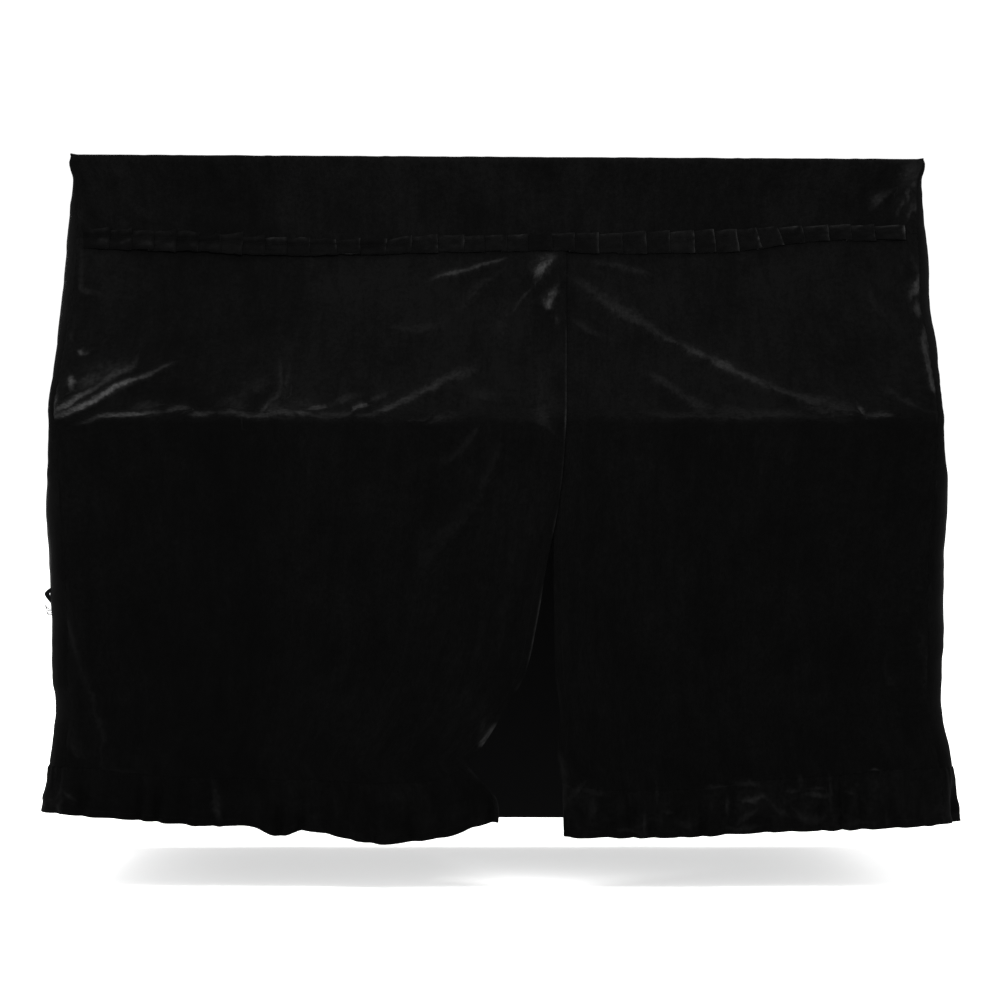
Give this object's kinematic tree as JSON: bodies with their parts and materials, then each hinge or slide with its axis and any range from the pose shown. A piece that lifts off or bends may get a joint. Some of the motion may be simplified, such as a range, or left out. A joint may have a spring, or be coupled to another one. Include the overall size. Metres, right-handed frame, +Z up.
{
  "type": "fitted cloth cover for an upright piano",
  "caption": "Hollow velvet cover in the draped shape of an upright piano, with a pleated frill, a front slit and gathered flounces.",
  "frame": {"origin": "middle of the piano's lid, on the underside of the top panel", "axes": "+X to the right as seen from the keyboard side, -Y towards the keyboard side, +Z up"},
  "size_m": [1.5437, 0.6625, 1.2086],
  "materials": {
    "velvet": "black pile with a soft sheen at grazing angles",
    "velvet_trim": "black pile, pleated and gathered"
  },
  "bodies": {
    "root": {"top_panel": "velvet", "front_band": "velvet", "front_left_panel": "velvet", "front_right_panel": "velvet", "left_side_panel": "velvet", "right_side_panel": "velvet", "back_panel": "velvet", "pleated_frill": "velvet_trim", "front_left_flounce": "velvet_trim", "front_right_flounce": "velvet_trim", "left_side_flounce": "velvet_trim", "right_side_flounce": "velvet_trim"}
  },
  "joints": []
}
